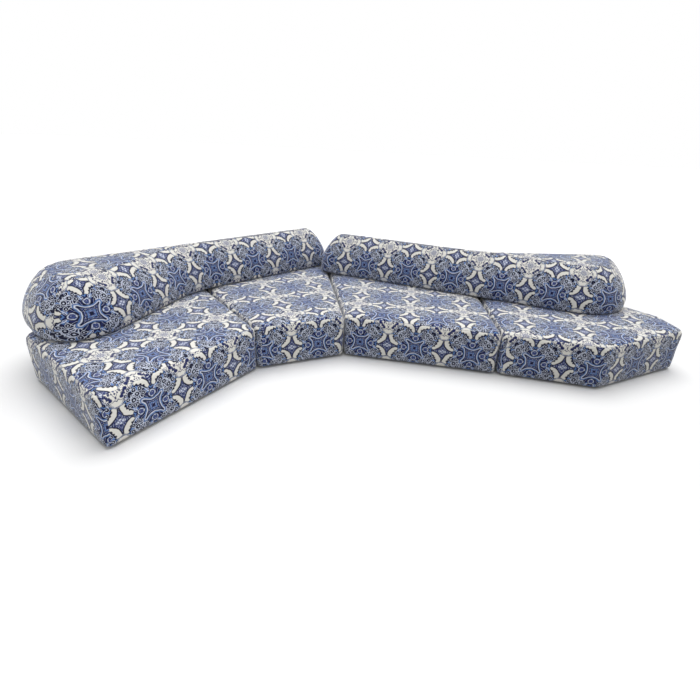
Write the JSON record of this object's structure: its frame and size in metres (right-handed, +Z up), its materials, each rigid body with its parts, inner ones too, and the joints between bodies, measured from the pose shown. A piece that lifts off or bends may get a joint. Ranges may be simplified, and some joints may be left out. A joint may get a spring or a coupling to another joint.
{
  "type": "modular sofa",
  "caption": "Low modular sofa: polygonal upholstered seats in a cranked row on small glides, with long club-shaped loose backrests lying on top.",
  "frame": {"origin": "centre of the bounding box of the whole row, on the floor", "axes": "+X along the front of the third seat, from the left seat to the right one; +Y to the back; +Z up"},
  "size_m": [5.1476, 3.3516, 0.7743],
  "materials": {
    "seat_fabric": "printed cotton velvet, matte",
    "backrest_fabric": "printed cotton velvet, matte",
    "foam": "open-cell foam",
    "webbing": "elastic woven belt",
    "timber": "raw birch plywood",
    "dust_cloth": "black non-woven cloth",
    "glide": "moulded, matte",
    "zinc_steel": "zinc plated",
    "grip_rubber": "fine ribbed grip sheet"
  },
  "bodies": {
    "seat_a": {"seat_a_cover": "seat_fabric", "seat_a_foam": "foam", "seat_a_webbing": "webbing", "seat_a_frame": "timber", "seat_a_dust_cover": "dust_cloth", "seat_a_feet": "glide", "seat_a_screws": "zinc_steel"},
    "seat_b": {"seat_b_cover": "seat_fabric", "seat_b_foam": "foam", "seat_b_webbing": "webbing", "seat_b_frame": "timber", "seat_b_dust_cover": "dust_cloth", "seat_b_feet": "glide", "seat_b_screws": "zinc_steel"},
    "seat_c": {"seat_c_cover": "seat_fabric", "seat_c_foam": "foam", "seat_c_webbing": "webbing", "seat_c_frame": "timber", "seat_c_dust_cover": "dust_cloth", "seat_c_feet": "glide", "seat_c_screws": "zinc_steel"},
    "seat_d": {"seat_d_cover": "seat_fabric", "seat_d_foam": "foam", "seat_d_webbing": "webbing", "seat_d_frame": "timber", "seat_d_dust_cover": "dust_cloth", "seat_d_feet": "glide", "seat_d_screws": "zinc_steel"},
    "backrest_left": {"backrest_left_cover": "backrest_fabric", "backrest_left_core": "foam", "backrest_left_board": "timber", "backrest_left_grip": "grip_rubber"},
    "backrest_right": {"backrest_right_cover": "backrest_fabric", "backrest_right_core": "foam", "backrest_right_board": "timber", "backrest_right_grip": "grip_rubber"}
  },
  "joints": [
    {"name": "seat_b_apart", "type": "slide", "parent": "seat_a", "child": "seat_b", "axis": [0.6884, 0.7254, 0], "range_m": [0, 0.5]},
    {"name": "seat_c_apart", "type": "slide", "parent": "seat_b", "child": "seat_c", "axis": [0.9397, 0.342, 0], "range_m": [0, 0.5]},
    {"name": "seat_d_apart", "type": "slide", "parent": "seat_c", "child": "seat_d", "axis": [0.9877, 0.1564, 0], "range_m": [0, 0.5]},
    {"name": "backrest_left_lift", "type": "slide", "parent": "seat_a", "child": "backrest_left", "axis": [0, 0, 1], "range_m": [0, 0.45]},
    {"name": "backrest_right_lift", "type": "slide", "parent": "seat_c", "child": "backrest_right", "axis": [0, 0, 1], "range_m": [0, 0.45]}
  ]
}
